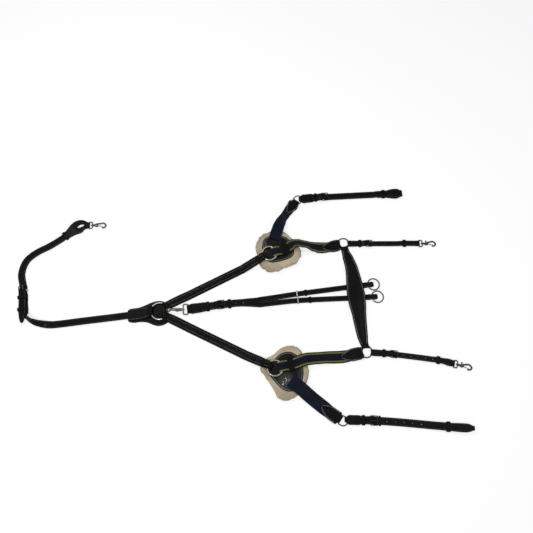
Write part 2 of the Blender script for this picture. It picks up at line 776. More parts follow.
def leather(name, colour, edge_colour, roughness, pebble, crease, strength, coat):
    """Dyed leather: pebbled grain, fine creases, rubbed edges and a little dust."""
    made, tree, shader = blank(name, Specular_IOR_Level=0.036, Coat_Weight=coat, Coat_Roughness=0.15)
    place = placed(tree)
    grain = add(tree, "Group", place, node_tree=GRAIN, Pebble=pebble, Crease=crease)
    wear = add(tree, "Group", place, node_tree=WEAR)
    specks = add(tree, "Group", place, node_tree=DUST)
    tone = add(tree, "TexNoise", place, Scale=14.0, Detail=4.0)
    base = blended(tree, stepped(tree, (tone, "Fac"), 0.35, 0.68), colour, scaled(1.55, colour))
    base = tinted(tree, base, (grain, "Creases"), 0.45, scaled(0.45, colour))
    base = tinted(tree, base, (wear, "Worn"), 0.55, edge_colour)
    feed(tree, tinted(tree, base, (specks, "Dust"), 0.30, (0.030, 0.029, 0.028)), shader, "Base Color")
    rough = maths(tree, "MULTIPLY_ADD", (wear, "Rub"), 0.13, roughness)
    feed(tree, maths(tree, "MULTIPLY_ADD", (grain, "Creases"), 0.10, rough), shader, "Roughness")
    bumped(tree, shader, (grain, "Height"), strength, 0.00022)
    return made


def polished(made, spot, inner, outer, shine, coat):
    """Give a leather a stronger shine round the spot where it is rubbed most."""
    tree = made.node_tree
    away = add(tree, "VectorMath", {0: placed(tree)["Vector"]}, operation="DISTANCE")
    away.inputs[1].default_value = spot
    feed(tree, stepped(tree, (away, "Value"), inner, outer, shine, coat), tree.nodes["Principled BSDF"], "Coat Weight")


def thread(name, colour):
    """Waxed thread with its twist, a little soiled."""
    made, tree, shader = blank(name, Roughness=0.62)
    place = placed(tree)
    twist = add(tree, "TexWave", place, Scale=900.0, Distortion=1.5, bands_direction="DIAGONAL")
    soil = add(tree, "TexNoise", place, Scale=40.0, Detail=3.0)
    base = blended(tree, stepped(tree, (soil, "Fac"), 0.35, 0.7), colour, scaled(0.55, colour))
    feed(tree, tinted(tree, base, (twist, "Fac"), 0.3, scaled(0.4, colour)), shader, "Base Color")
    bumped(tree, shader, (twist, "Fac"), 0.5, 0.0001)
    return made


# Half the width of the striped web, in metres
WEB_HALF = 0.019


def elastic(name, ground, stripe=None, border=None):
    """Woven elastic web, plain or with a bright stripe inside each dark border."""
    made, tree, shader = blank(name, Roughness=0.78, Specular_IOR_Level=0.06, Sheen_Weight=0.04, Sheen_Roughness=0.4)
    weave = add(tree, "Group", node_tree=WEAVE)
    place = placed(tree)
    tone = add(tree, "TexNoise", place, Scale=30.0, Detail=4.0)
    base = blended(tree, stepped(tree, (tone, "Fac"), 0.3, 0.7), ground, scaled(1.5, ground, 0.002))
    if stripe:
        off = maths(tree, "MULTIPLY_ADD", (weave, "Picks"), 0.00025, maths(tree, "ABSOLUTE", (weave, "Across")))
        base = blended(tree, stepped(tree, off, WEB_HALF * 0.57, WEB_HALF * 0.61), base, stripe)
        base = blended(tree, stepped(tree, off, WEB_HALF * 0.79, WEB_HALF * 0.83), base, border)
    hollow = maths(tree, "SUBTRACT", 1.0, (weave, "Height"))
    feed(tree, tinted(tree, base, hollow, 0.55, (0.001, 0.001, 0.002)), shader, "Base Color")
    fuzz = add(tree, "TexNoise", place, Scale=2400.0, Detail=2.0)
    bumped(tree, shader, maths(tree, "MULTIPLY_ADD", (fuzz, "Fac"), 0.25, (weave, "Height")), 0.8, 0.00035)
    return made


def fleece(name, colour, deep_colour, rim_colour):
    """Wool pile: warm locks, darker hollows between them and a greyer trimmed rim."""
    made, tree, shader = blank(name, Roughness=0.95, Specular_IOR_Level=0.2, Sheen_Weight=0.35, Sheen_Roughness=0.6)
    place = placed(tree)
    tone = add(tree, "TexNoise", place, Scale=22.0, Detail=5.0)
    base = blended(tree, stepped(tree, (tone, "Fac"), 0.35, 0.68), colour, scaled(1.4, colour))
    base = tinted(tree, base, (add(tree, "Attribute", attribute_name="hollow"), "Fac"), 0.5, deep_colour)
    rim = (add(tree, "Attribute", attribute_name="rim"), "Fac")
    feed(tree, tinted(tree, base, rim, 0.75, rim_colour), shader, "Base Color")
    fibre = add(tree, "TexNoise", place, Scale=900.0, Detail=6.0, Roughness=0.7, Distortion=2.5)
    curl = add(tree, "TexVoronoi", place, Scale=330.0, feature="SMOOTH_F1")
    bumped(tree, shader, maths(tree, "MULTIPLY_ADD", (curl, "Distance"), 0.8, (fibre, "Fac")), 0.75, 0.0011)
    return made


def hardware(name, colour, shade_colour):
    """Worn metal: polished, with fine scratches and dull patches."""
    made, tree, shader = blank(name, Metallic=1.0)
    place = placed(tree)
    patch = add(tree, "TexNoise", place, Scale=60.0, Detail=5.0, Roughness=0.6)
    dull = stepped(tree, (patch, "Fac"), 0.42, 0.72)
    feed(tree, tinted(tree, colour, dull, 0.4, shade_colour), shader, "Base Color")
    feed(tree, maths(tree, "MULTIPLY_ADD", dull, 0.18, 0.20), shader, "Roughness")
    line = add(tree, "Mapping", place, Scale=(1.0, 9.0, 3.0))
    scratch = add(tree, "TexNoise", {"Vector": (line, 0)}, Scale=700.0, Detail=4.0)
    bumped(tree, shader, (scratch, "Fac"), 0.04, 0.0002)
    return made


DARK_EDGE = (0.012, 0.0115, 0.012)
PATCH_COAT = 0.18
BRIDLE = leather("bridle_leather", (0.0015, 0.0014, 0.0017), DARK_EDGE, 0.42, 1500.0, 60.0, 0.30, 0.03)
ROLLED = leather("rolled_padded_leather", (0.0017, 0.0016, 0.0020), DARK_EDGE, 0.42, 950.0, 75.0, 0.42, 0.03)
GLOSSY = leather("glossy_patch_leather", (0.0010, 0.0009, 0.0012), (0.010, 0.009, 0.010), 0.30, 1300.0, 45.0,
                 0.12, PATCH_COAT)
polished(GLOSSY, (0.388, -0.217, 0.02), 0.012, 0.034, 0.95, PATCH_COAT)
THREAD = thread("dark_waxed_thread", (0.06, 0.06, 0.065))
GREY_THREAD = thread("grey_waxed_thread", (0.20, 0.20, 0.205))
PALE_THREAD = thread("pale_waxed_thread", (0.30, 0.30, 0.31))
NAVY = elastic("navy_elastic_web", (0.0045, 0.0068, 0.0150))
STRIPED = elastic("striped_elastic_web", (0.0040, 0.0044, 0.0125), (0.172, 0.178, 0.044), (0.0020, 0.0020, 0.0026))
WOOL = fleece("cream_fleece_pile", (0.290, 0.235, 0.158), (0.19, 0.15, 0.10), (0.185, 0.168, 0.128))
NICKEL = hardware("worn_nickel", (0.25, 0.245, 0.225), (0.06, 0.058, 0.05))
STEEL = hardware("dark_steel", (0.065, 0.065, 0.063), (0.022, 0.022, 0.021))
BRASS = hardware("tarnished_brass", (0.115, 0.107, 0.078), (0.040, 0.037, 0.026))
BRONZE = hardware("dark_bronze", (0.040, 0.038, 0.027), (0.016, 0.015, 0.011))
BLACKENED = hardware("blackened_buckle", (0.020, 0.020, 0.018), (0.008, 0.008, 0.007))


# Hardware

def ring(node, radius, wire_r, finish, place):
    """A round ring, spun from the round section of its wire."""
    bm = bmesh.new()
    section = bmesh.ops.create_circle(bm, segments=20, radius=wire_r, cap_ends=False,
                                      matrix=Matrix.Translation((radius, 0, 0)) @ Matrix.Rotation(math.pi / 2, 4, "X"))
    edges = list({e for v in section["verts"] for e in v.link_edges})
    bmesh.ops.spin(bm, geom=section["verts"] + edges, cent=(0, 0, 0), axis=(0, 0, 1), angle=2 * math.pi,
                   steps=96, use_merge=True)
    bm.transform(place)
    finished("round_" + node, bm, [finish], node, [node])


def rounded_frame(length, width, corner, steps=8, x0=0.0):
    """Middle line of a rounded rectangle from x0 to length, across y."""
    points = []
    for cx, cy, first in ((length - corner, 0.5 * width - corner, 0.0), (x0 + corner, 0.5 * width - corner, 90.0),
                          (x0 + corner, corner - 0.5 * width, 180.0), (length - corner, corner - 0.5 * width, 270.0)):
        for k in range(steps + 1):
            x, y = polar((cx, cy), corner, first + 90.0 * k / steps)
            points.append((x, y, 0.0))
    return points


def graded(count, pairs, scale=1.0):
    """Radii at even steps along a wire, from (share, radius) pairs."""
    return [scale * along(k / count, pairs) for k in range(count + 1)]


def buckle(prefix, body, heel, heading, width, tilt=0.0, tongue=BLACKENED):
    """A bent wire frame and its prong, which curls round the heel bar."""
    bm = bmesh.new()
    wire(bm, rounded_frame(BUCKLE_LENGTH, width + 2.8, 2.6), BUCKLE_WIRE, closed=True, sides=16, squash=(1.0, 0.86))
    bm.transform(setting(heel, heading, -tilt))
    finished(prefix + "_frame", bm, [BLACKENED], body, [prefix + "_buckle"])
    curl = BUCKLE_WIRE + 1.35
    front = BUCKLE_LENGTH * math.sin(math.radians(tilt)) + BUCKLE_WIRE + 1.25
    path, radii = [], []
    for k in range(15):
        x, z = polar((0.0, 0.0), curl, -50.0 - 15.7 * k)
        path.append((x, 0.0, z))
        radii.append(0.8 + 0.03 * k)
    for k in range(1, 9):
        share = k / 8
        dip = -0.9 * math.sin(math.pi * share)
        path.append(((BUCKLE_LENGTH + 1.4) * share, 0.0, curl + (front - curl) * share + dip))
        radii.append(1.25 - 0.35 * share)
    bm = bmesh.new()
    wire(bm, path, radii, sides=12, squash=(1.15, 0.85))
    bm.transform(setting(heel, heading))
    finished(prefix + "_tongue", bm, [tongue], prefix + "_prong", [prefix + "_prong"])


# Snaps: rails of the hook, then the turned parts as (x, radius) pairs
TRIGGER_RAIL = ((9.0, 0.2), (12.0, 0.9), (15.0, 2.1), (20.0, 4.1), (24.0, 5.4), (28.0, 6.6), (32.0, 7.5))
LONG_RAIL = ((8.5, 1.4), (11.0, 3.0), (15.0, 4.4), (20.0, 5.2), (26.0, 6.0), (32.0, 6.8))
BARREL = ((-0.6, 2.0), (-0.5, 3.0), (0.2, 3.55), (1.4, 3.3), (2.6, 3.05), (3.9, 3.3), (4.9, 3.55), (5.0, 2.9),
          (5.0, 2.0), (-0.6, 2.0))
STUD = ((-2.6, 0.0), (-2.5, 0.9), (-1.9, 1.9), (-1.2, 2.5), (-0.5, 2.6), (-0.4, 1.6), (5.4, 1.6), (5.4, 3.1),
        (6.0, 3.5), (7.0, 3.35), (8.0, 3.0), (8.8, 2.9), (8.8, 0.0))
PIN = ((-3.1, 0.0), (-3.1, 0.7), (-2.8, 1.15), (2.8, 1.15), (3.1, 0.7), (3.1, 0.0))
THUMB_BALL = ((8.0, 0.0), (8.1, 1.4), (8.7, 2.4), (9.6, 2.9), (10.5, 2.9), (11.4, 2.4), (12.1, 1.5), (12.35, 0.5),
              (12.4, 0.0))
SLEEVE = ((-1.05, 1.25), (-1.05, 2.1), (-0.7, 2.3), (0.7, 2.3), (1.05, 2.1), (1.05, 1.25), (-1.05, 1.25))
SNAP_SHARP = 50.0
# Dip that lays the far end of a snap on the floor
SNAP_DIP = math.degrees(math.asin((LOOP_Z - SNAP_WIRE - 0.35) / (12.0 + SNAP_REACH)))


def snap(prefix, bar, heading, dip, eye_width, eye_length=12.0, reach=46.0, nose=8.2, stout=1.0, neck=0.0,
         twist=0.0, finish=BRONZE, rail=None, bold=1.4, eye_body=None):
    """A snap: strap eye with its barrel, cast hook and sprung gate, with a thumb ball unless it has rails."""
    base = setting(bar, heading, dip)
    turned = base @ Matrix.Rotation(math.radians(twist), 4, "X")
    start = eye_length - SNAP_EYE_WIRE
    bm = bmesh.new()
    wire(bm, rounded_frame(eye_length, eye_width + 5.2, 3.6), SNAP_EYE_WIRE, closed=True, sides=16,
         squash=(1.2 + 0.22 * (stout - 1.0), 1.0))
    joined(bm, lathe(BARREL, start=start))
    bm.transform(base)
    finished(prefix + "_swivel_eye", bm, [finish], eye_body or prefix + "_eye", [prefix + "_eye"], SNAP_SHARP)

    bm = bmesh.new()
    joined(bm, lathe(STUD, start=start))
    start = eye_length + neck
    tip = reach - SNAP_WIRE
    bend = Route([(6.0 - neck, 0.0), *(rail or TRIGGER_RAIL), (tip - 9.0, 7.4), (tip - 5.4, 5.9), (tip - 2.6, 3.6),
                  (tip - 0.9, 0.6), (tip - 1.0, 5.6 - nose), (tip - 3.4, 2.3 - nose), (tip - 6.5, 0.6 - nose),
                  (tip - 11.5, -nose)])
    wire(bm, [(start + p.x, p.y, 0.0) for p in bend.even(44)],
         graded(44, ((0.0, 2.4), (0.2, 2.2), (0.45, 2.0), (0.8, 2.0), (0.93, 1.8), (1.0, 1.6)), bold),
         sides=16, squash=(1.0, 1.05 * stout / bold))
    cheek = Route([(5.6, 0.2), (9.0, -0.3), (13.0, -1.4), (16.4, -1.7)]).even(12)
    for lift in (-2.05, 2.05):
        wire(bm, [(start + p.x, p.y, lift * stout) for p in cheek],
             graded(12, ((0.0, 1.5), (0.35, 2.7), (0.75, 3.1), (1.0, 2.4)), bold), sides=16, squash=(1.0, 0.30 / bold))
    hub = Matrix.Translation((start + 13.0, -1.8, 0.0))
    joined(bm, lathe(PIN, 14), hub @ Matrix.Rotation(math.pi / 2, 4, "Y"))
    bm.transform(turned)
    finished(prefix + "_cast_hook", bm, [finish], prefix + "_hook", [prefix + "_hook"], SNAP_SHARP)

    bm = bmesh.new()
    swing = tip - 22.4
    lever = Route([(0.0, 0.0), (0.5 * swing, -0.9), (swing, SNAP_WIRE + 3.15 - nose)])
    wire(bm, [(p.x, p.y, 0.0) for p in lever.even(16)], graded(16, ((0.0, 1.6), (0.15, 1.3), (1.0, 1.0))),
         sides=12, squash=(1.0, 0.95))
    if not rail:
        wire(bm, [(0.0, 0.2, 0.0), (-0.1, 2.6, 0.0), (-0.25, 5.2, 0.0), (-0.5, 9.4, 0.0)], [1.25, 1.0, 0.95, 1.2],
             sides=12)
        joined(bm, lathe(THUMB_BALL, 18),
               Matrix.Translation((-0.5, 0.0, 0.0)) @ Matrix.Rotation(math.pi / 2, 4, "Z"))
    joined(bm, lathe(SLEEVE, 18), Matrix.Rotation(math.pi / 2, 4, "Y"))
    bm.transform(turned @ hub)
    finished(prefix + "_thumb_gate", bm, [finish], prefix + "_gate", [prefix + "_gate"], SNAP_SHARP)


def dee(side):
    """A dee of bent wire: a straight bar, two legs and a half-round bow."""
    radius, wire_r = DEE
    corner = 2.6
    node = "side_dee_" + side
    points = [(-DEE_LEG, y) for y in (-radius + corner, -6.0, 0.0, 6.0, radius - corner)]
    points += [polar((corner - DEE_LEG, radius - corner), corner, 180.0 - 15.0 * k) for k in range(1, 7)]
    points += [(-4.0, radius)]
    points += [polar((0.0, 0.0), radius, 90.0 - 7.5 * k) for k in range(25)]
    points += [(-4.0, -radius)]
    points += [polar((corner - DEE_LEG, corner - radius), corner, 270.0 - 15.0 * k) for k in range(6)]
    bm = bmesh.new()
    wire(bm, [(x, y, 0.0) for x, y in points], wire_r, closed=True, sides=18)
    bm.transform(setting((*DEE_AT[side], LOOP_Z), DEE_HEADING[side]))
    finished("bent_dee_" + side, bm, [STEEL], node, [node])


def dee_bar(side):
    return polar(DEE_AT[side], -DEE_LEG, DEE_HEADING[side])


# Straps

def holes_at(billet, heel, first, apart, count):
    """The prong's hole behind the heel bar and the smaller spare holes beyond it."""
    punched = [(heel + 9.5, 1.5)] + [(heel + first + apart * k, 1.0) for k in range(count)]
    return [(billet.mark_of(s), r, r) for s, r in punched]


def sewn(name, strip, finishes, body, nodes, row=None, step=4.0, bold=1.0):
    """A piece made of one strip, with a row of stitches as (inset, start, end) along its edges."""
    bm = bmesh.new()
    strip.build(bm, step=step)
    if row:
        strip.stitches(*row, bold=bold)
    return finished(name, bm, finishes, body, nodes)


def girth_part():
    """Chest plate, ring cover, girth strap and billet."""
    body = "girth_part"
    cut_out = [(-98.0, -18.0), (-97.5, -4.0), (-94.0, 6.5), (-84.0, 10.0), (-66.0, 13.0), (-48.0, 20.0), (-30.0, 28.5),
               (-12.0, 34.0), (4.0, 34.0), (16.0, 29.0), (23.0, 20.0), (25.0, 10.0), (24.0, 0.0), (29.0, -8.0),
               (33.0, -20.0), (28.0, -33.0), (14.0, -42.5), (-4.0, -45.5), (-20.0, -41.5), (-36.0, -35.0),
               (-56.0, -33.0), (-78.0, -35.5), (-92.0, -33.5), (-97.0, -28.0)]
    plate("thin_plate_lining", cut_out, 1.5, 0.0, BRIDLE, body, [], inset=2.6)
    outline = [(min(x, 13.0 + 0.1 * (x - 13.0)), y) for x, y in cut_out]
    plate("stitched_chest_plate", outline, 1.5, 1.5, BRIDLE, body, ["chest_plate"])

    route = Route([(-97.0, -12.0), (-60.0, -8.0), polar(CHEST_AT, CHEST_RING[0], 182.0)])
    length = route.length
    line = strip_line(length, ((0.0, STRAP_THICK + 5.0),), ((0.0, 2.6),),
                      end=(CHEST_RING_Z, CHEST_RING[1], 2.3, 26.0, 4.9, 0.0))
    cover = Ribbon(route, line, ((0.0, 24.0), (1.2, 29.0), (3.0, 32.6), (9.0, 37.0), (40.0, 37.0), (71.0, 27.0)),
                   folds=((length, -1, CHEST_AT, CHEST_RING[0]),), wave=0.1, seed=3.0)
    sewn("stitched_ring_cover", cover, [BRIDLE, GREY_THREAD], body, ["ring_cover"], (3.2, 3.0, length - 12.0), 3.0)

    heel_at = (-433.0, 62.0)
    girth = Route([(-93.0, -12.5), (-140.0, -18.5), (-226.0, -29.5), (-314.0, -41.0), (-350.0, -42.0), (-380.0, -36.5),
                   (-401.0, -26.0), (-414.5, -9.0), (-423.5, 14.0), heel_at])
    length = girth.length
    line = strip_line(length, ((0.0, 5.15), (14.0, 5.15), (40.0, 4.0)),
                      ((0.0, 3.5), (length - 34.0, 3.5), (length - 22.0, 2.2)),
                      end=(LOOP_Z, BUCKLE_WIRE, 2.0, 34.0, 2.0, 0.0))
    lean = to_end(length, (175.0, 0.0), (125.0, -44.0), (102.0, -62.0), (90.0, -66.0), (76.0, -20.0), (60.0, 0.0))
    width = ((0.0, 23.0), *to_end(length, (74.0, 23.0), (50.0, 26.0), (12.0, 28.0), (0.0, 24.0)))
    lower = Ribbon(girth, line, width, roll=lean, folds=((length, -1),), wave=0.5, seed=11.0)
    sewn("stitched_girth_strap", lower, [BRIDLE, THREAD], body, ["girth_strap"], (3.0, 4.0, length - 52.0))

    tip = (-421.0, -38.0)
    turn = 99.0
    tilt = math.degrees(math.asin((STRAP_BASE + STRAP_THICK + 0.35 + BUCKLE_WIRE - LOOP_Z) / BUCKLE_LENGTH))
    buckle("girth", body, (*heel_at, LOOP_Z), turn, 23.0, tilt, BRASS)
    billet = Route([tip, (-425.5, 0.0), heel_at, polar(heel_at, BUCKLE_LENGTH, turn), (-447.0, 124.0),
                    (-438.0, 166.0), (-410.0, 195.0), (-366.0, 221.0), (-322.0, 254.0), (-296.0, 278.0),
                    (-274.0, 290.5), (-252.0, 291.5)])
    length = billet.length
    heel = (Vector(heel_at) - Vector(tip)).length + 0.6
    top = STRAP_BASE + STRAP_THICK + 1.6
    height = ((heel - 20.0, top + 1.8), (heel - 9.0, 11.4), (heel + 3.0, 11.2), (heel + 17.0, 4.0),
              *to_end(length, (96.0, 4.0), (84.0, 6.6), (62.0, 6.6), (50.0, 6.2), (0.0, 7.2)))
    thick = ((0.0, 3.4), (heel - 14.0, 3.0), (heel + 10.0, 3.4), *to_end(length, (96.0, 3.5), (84.0, 3.0)))
    line = strip_line(length, height, thick, end=(LOOP_Z, SNAP_EYE_WIRE, 2.6, 86.0, 2.9, 0.0))
    width = ((0.0, 3.0), (1.5, 7.0), (4.0, 10.5), (8.0, 13.5), (14.0, 16.5), (22.0, 19.5), (34.0, 22.5), (44.0, 23.0),
             *to_end(length, (92.0, 23.0), (74.0, 27.0), (60.0, 34.0), (48.0, 42.5), (36.0, 46.5), (27.0, 45.0),
                     (18.0, 37.0), (9.0, 26.0), (4.0, 20.5), (0.0, 19.0)))
    upper = Ribbon(billet, line, width, folds=((length, -1),), wave=0.5, seed=17.0)
    bm = bmesh.new()
    slits = [(upper.mark_of(length - 26.0, last), 12.5, 5.6) for last in (False, True)]
    upper.build(bm, holes_at(upper, heel, 55.0, 25.0, 5) + slits, step=4.0)
    upper.stitches(3.0, 9.0, heel - 8.0)
    upper.stitches(3.0, heel + 26.0, length - 12.0)
    keeper(bm, billet, length - 84.0, 25.5, STRAP_BASE, 8.6)
    for back, more in ((18.0, 1.5), (57.0, 0.0)):
        keeper(bm, billet, heel - back, 25.5, STRAP_BASE - 0.2, top + STRAP_THICK + more)
    finished("stitched_girth_billet", bm, [BRIDLE, THREAD], body, ["girth_billet"])
    snap("girth_snap", billet.above(length, LOOP_Z), billet.turn(length), SNAP_DIP, 18.0, nose=9.2, rail=LONG_RAIL)


def smoothed(points, steps):
    """A closed outline drawn smoothly through its corner points."""
    closed, count = [], len(points)
    for i in range(count):
        corners = [Vector(points[(i + k) % count]) for k in (-1, 0, 1, 2)]
        closed += [spline(*corners, j / steps) for j in range(steps)]
    return closed


# How far in from its rim a dome reaches the middle of its outline
DOME_REACH = 44.0


def raised(point, mounds):
    """Height that soft mounds, given as (x, y, radius, height), add at a point."""
    return sum(height * eased(max(0.0, 1.0 - (point - Vector((x, y))).length / radius))
               for x, y, radius, height in mounds)


def plate(name, points, thick, low, finish, body, nodes, inset=3.2, dome=(), mounds=(), sewn_with=THREAD):
    """A flat piece cut to an outline, with a soft edge, a groove and a row of stitches inside it."""
    closed = smoothed(points, 14 if dome else 8)
    count = len(closed)
    inward = []
    for i in range(count):
        way = (closed[(i + 1) % count] - closed[i - 1]).normalized()
        inward.append(Vector((-way.y, way.x)))
    area = sum(closed[i - 1].x * closed[i].y - closed[i].x * closed[i - 1].y for i in range(count))
    if area < 0:
        inward = [-v for v in inward]
    middle = sum(closed, Vector((0.0, 0.0))) / count
    bm = bmesh.new()
    flat = inset + 3.0
    rim = ((0.0, 0.35), (0.25, 0.14), (0.8, 0.0), (1.8, 0.0), (inset - 0.5, -0.02), (inset, 0.16),
           (inset + 0.6, 0.0), (flat, -0.02), *((e, 0.0) for e, _ in dome))
    rows = []
    for e, drop in reversed(rim):
        lift = along(e, dome) if dome and e > flat else 0.0
        share = max(0.0, e - flat) / DOME_REACH
        spots = [(p + n * min(e, flat)).lerp(middle, share) for p, n in zip(closed, inward)]
        rows.append([(p, low + thick * (1 - drop) + lift + raised(p, mounds)) for p in spots])
    for e, lift in ((0.0, 0.35), (0.3, 0.1), (1.0, 0.0)):
        rows.append([(p + n * e, low + thick * lift) for p, n in zip(closed, inward)])
    rows = [[Vector((p.x, p.y, z)) for p, z in row] for row in rows]
    laid(bm, rows)
    marks = [0.0]
    for i in range(count):
        marks.append(marks[-1] + (closed[(i + 1) % count] - closed[i]).length)
    total = marks[-1]
    need = int(total / 2.8)

    def rim_spot(distance, lift):
        distance %= total
        i = max(k for k in range(count) if marks[k] <= distance)
        share = (distance - marks[i]) / max(1e-6, marks[i + 1] - marks[i])
        p = closed[i].lerp(closed[(i + 1) % count], share)
        q = p + inward[i].lerp(inward[(i + 1) % count], share) * inset
        return Vector((q.x, q.y, low + thick * 0.84 + lift))

    for k in range(need):
        d = total * k / need
        stitch(rim_spot(d - 1.0, 0.2), rim_spot(d, 0.3), rim_spot(d + 1.0, 0.2), 1.5 if dome else 1.0)
    finished(name, bm, [finish, sewn_with], body, nodes)


def middles(stops, bottom, thick):
    """Heights of a strip's middle over the stops, from its bottom and its thickness."""
    return [(s, along(s, bottom) + 0.5 * along(s, thick)) for s in stops]


def shoulder_strap(side):
    """The padded strap from the chest ring to a pad ring."""
    turn = {"right": 41.0, "left": -38.0}[side]
    first = polar(CHEST_AT, CHEST_RING[0], turn)
    centre = PAD_RING_AT[side]
    last = polar(centre, PAD_RING[0] - PAD_SLACK, heading_of(centre, first))
    route = Route([first, last])
    length = route.length
    ring_s = length - PAD_SLACK
    bottom = ((0.0, 3.35), (40.0, 3.35), (80.0, 0.0), *to_end(ring_s, (75.0, 0.0), (45.0, 9.0), (26.0, 16.5)))
    thick = ((0.0, 3.0), (14.0, 4.2), (30.0, 7.0), *to_end(ring_s, (34.0, 7.0), (14.0, 4.2), (0.0, 3.0)))
    stops = (0.0, 14.0, 30.0, 40.0, 60.0, 80.0,
             *(ring_s - back for back in (75.0, 60.0, 45.0, 34.0, 26.0, 14.0, 0.0)))
    line = strip_line(length, middles(stops, bottom, thick), thick,
                      start=(CHEST_RING_Z, CHEST_RING[1], 2.5, 24.0, 4.7, 0.0),
                      end=(PAD_RING_Z, PAD_RING[1], 2.5, 22.0 + PAD_SLACK, 21.0, PAD_SLACK + 2.5))
    width = ((0.0, 25.0), (6.0, 26.0), (14.0, 28.0), (26.0, 29.0),
             *to_end(ring_s, (30.0, 29.0), (14.0, 27.0), (0.0, 25.0)), (length, 23.0))
    strip = Ribbon(route, line, width, padded_section(7.4), crown=0.7, wave=0.5,
                   folds=((0.0, 1, CHEST_AT, CHEST_RING[0]), (length, -1)), seed={"left": 23.0, "right": 29.0}[side])
    made = sewn("padded_shoulder_strap_" + side, strip, [ROLLED, GREY_THREAD], "harness", ["shoulder_strap_" + side],
                (7.4, 8.0, length - 8.0))


def wither_strap():
    """The wide padded strap over the withers, from ring to ring."""
    right, left = WITHER_AT["right"], WITHER_AT["left"]
    inside = WITHER_RING[0] - WITHER_SLACK
    route = Route([polar(right, inside, -81.0), (593.0, 176.0), (603.0, 130.0), (611.0, 51.0),
                   (619.0, -30.0), (626.0, -88.0), polar(left, inside, 98.0)])
    length = route.length
    bottom = ((0.0, 0.0), (28.0, 1.0), (70.0, 7.4), *to_end(length, (110.0, 7.4), (40.0, 1.0), (0.0, 0.0)))
    thick = ((0.0, 2.6), (12.0, 3.2), (30.0, 5.2), *to_end(length, (30.0, 5.2), (12.0, 3.2), (0.0, 2.6)))
    stops = (0.0, 12.0, 28.0, 49.0, 70.0, *(length - back for back in (110.0, 75.0, 40.0, 20.0, 0.0)))
    fold = (LOOP_Z, WITHER_RING[1], 2.2, 26.0, 1.3, WITHER_SLACK + 1.0)
    line = strip_line(length, middles(stops, bottom, thick), thick, start=fold, end=fold)
    width = ((0.0, 22.0), (8.0, 23.0), (18.0, 27.0), (30.0, 33.0), (0.30 * length, 45.0), (0.40 * length, 53.5),
             (0.50 * length, 58.0), (0.60 * length, 53.0), (0.68 * length, 45.0), (length - 30.0, 33.0),
             (length - 18.0, 27.0), (length - 8.0, 23.0), (length, 22.0))
    strip = Ribbon(route, line, width, padded_section(4.4), crown=0.9, wave=0.7, seed=31.0,
                   folds=((0.0, 1, right, inside), (length, -1, left, inside)))
    made = sewn("padded_wither_strap", strip, [ROLLED, PALE_THREAD], "harness", ["wither_strap"],
                (4.4, 10.0, length - 10.0), bold=1.5)


# Top of a strap that is folded double between a ring and a buckle, and how much of a billet is
# folded back at a snap
CHAPE_TOP = STRAP_BASE + 2 * PLY + 0.2
DOUBLED = 54.0


def chape(bm, route, heel, width, wire_r, slack, bow, seed):
    """The doubled strap from a wire to the buckle's heel bar, bowed round the wire if that is a ring."""
    low, high = STRAP_BASE + 0.5 * PLY, STRAP_BASE + 1.5 * PLY + 0.1
    back = 0.5 * heel
    line = strip_line(heel, ((heel - 10.0, high), (heel, high + 1.0)), ((0.0, PLY),),
                      start=(LOOP_Z, wire_r, 2.1, back, low, slack), end=(BUCKLE_Z, BUCKLE_WIRE, 1.6, back, low, 0.0))
    strip = Ribbon(route, line, width, folds=((0.0, 1, *bow), (heel, -1)), wave=0.15, seed=seed)
    strip.build(bm, step=3.0)
    return strip


def over_buckle(tip, heel):
    """Heights and thicknesses of a billet from its tip over the buckle's heel bar to the ground."""
    return ([(tip, CHAPE_TOP + 1.2), (heel - 14.0, CHAPE_TOP + 1.25), (heel - 3.0, 11.9), (heel + 3.0, 11.8),
             (heel + 17.0, 4.0)],
            [(tip, 2.5), (heel - 12.0, 2.4), (heel, 2.2), (heel + 20.0, 3.5)])


def pointed(tip, point, width):
    """Widths of a strap that starts in a point, given as (distance from the tip, width) pairs."""
    return tuple((tip + ahead, w) for ahead, w in point) + tuple((s, w) for s, w in width if s > tip + 10.5)


def buckled_strap(node, body, nodes, route, heel, broad, width, wire_r, bow, tip, end_wire=None, keepers=(),
                  spare=(), seed=0.0, stop=0.0):
    """A chape from a wire to its buckle, and the billet that is buckled over it."""
    length = route.length
    bm = bmesh.new()
    lining = chape(bm, route, heel, broad, wire_r, 0.0, bow, seed)
    lining.stitches(2.6, 9.0, min(tip + 2.0, heel - 10.0))
    lining.stitches(2.6, 9.0, heel - 9.0, face=-1)
    height, thick = over_buckle(tip, heel)
    ending = None
    if end_wire:
        join = length - DOUBLED
        height += [(join - 10.0, 4.0), (join + 2.0, 6.7)]
        thick += [(join - 10.0, 3.5), (join + 2.0, 3.0)]
        ending = (LOOP_Z, end_wire, 2.5, DOUBLED, 3.7, 0.0)
    line = strip_line(length, height, thick, first=tip, end=ending)
    full = along(tip + 10.0, width)
    if full < 20.0:
        point = ((0.0, 3.0), (1.0, 7.0), (3.0, 12.0), (6.0, 16.5), (9.0, full))
    else:
        point = ((0.0, 4.0), (1.0, 8.5), (3.0, 14.0), (6.0, 18.6), (10.0, full))
    billet = Ribbon(route, line, pointed(tip, point, width), folds=((length, -1),) if end_wire else (), wave=0.45,
                    seed=seed + 5.0)
    billet.build(bm, holes_at(billet, heel, *spare), step=4.0)
    billet.stitches(2.8, tip + 8.0, heel - 6.0)
    billet.stitches(2.8, heel + 24.0, length - stop - 8.0)
    if end_wire:
        billet.stitches(2.8, join + 2.0, length - 10.0, face=-1)
    for numbers in keepers:
        keeper(bm, route, *numbers)
    finished("stitched_" + node, bm, [BRIDLE, THREAD], body, nodes)


